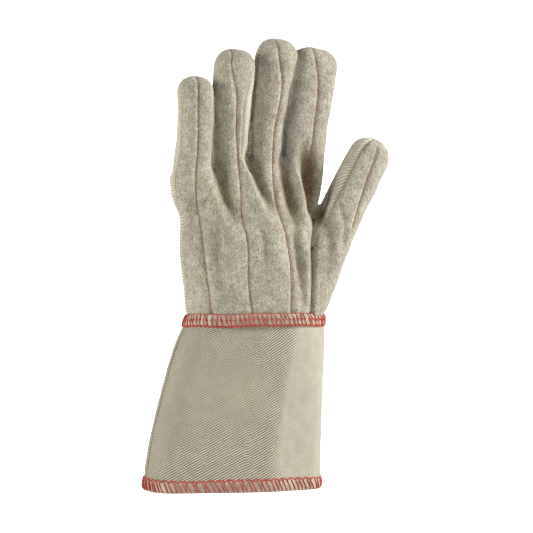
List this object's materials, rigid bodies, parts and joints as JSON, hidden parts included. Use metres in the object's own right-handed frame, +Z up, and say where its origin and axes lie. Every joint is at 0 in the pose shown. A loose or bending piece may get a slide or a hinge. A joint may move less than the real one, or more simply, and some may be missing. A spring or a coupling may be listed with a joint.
{
  "type": "hot mill glove",
  "caption": "Heavy cotton work glove with a napped flannel palm, twill back and a flared gauntlet cuff, standing upright on its open cuff.",
  "frame": {"origin": "on the floor under the centre of the standing glove's box", "axes": "+Z up from the open cuff to the fingertips, -Y out of the palm, +X to the thumb side"},
  "size_m": [0.1888, 0.0882, 0.344],
  "materials": {
    "napped_flannel": "napped double cotton, matte",
    "twill": "coarse cotton twill, matte",
    "cuff_twill": "fine cotton twill, matte",
    "overlocked_edge": "cotton edge bound with red thread"
  },
  "bodies": {
    "root": {"palm_panel": "napped_flannel", "thumb": "napped_flannel", "back_panel_outer": "twill", "back_panel_inner": "twill", "wrist_seam": "overlocked_edge", "cuff": "cuff_twill", "cuff_hem": "overlocked_edge"}
  },
  "joints": []
}
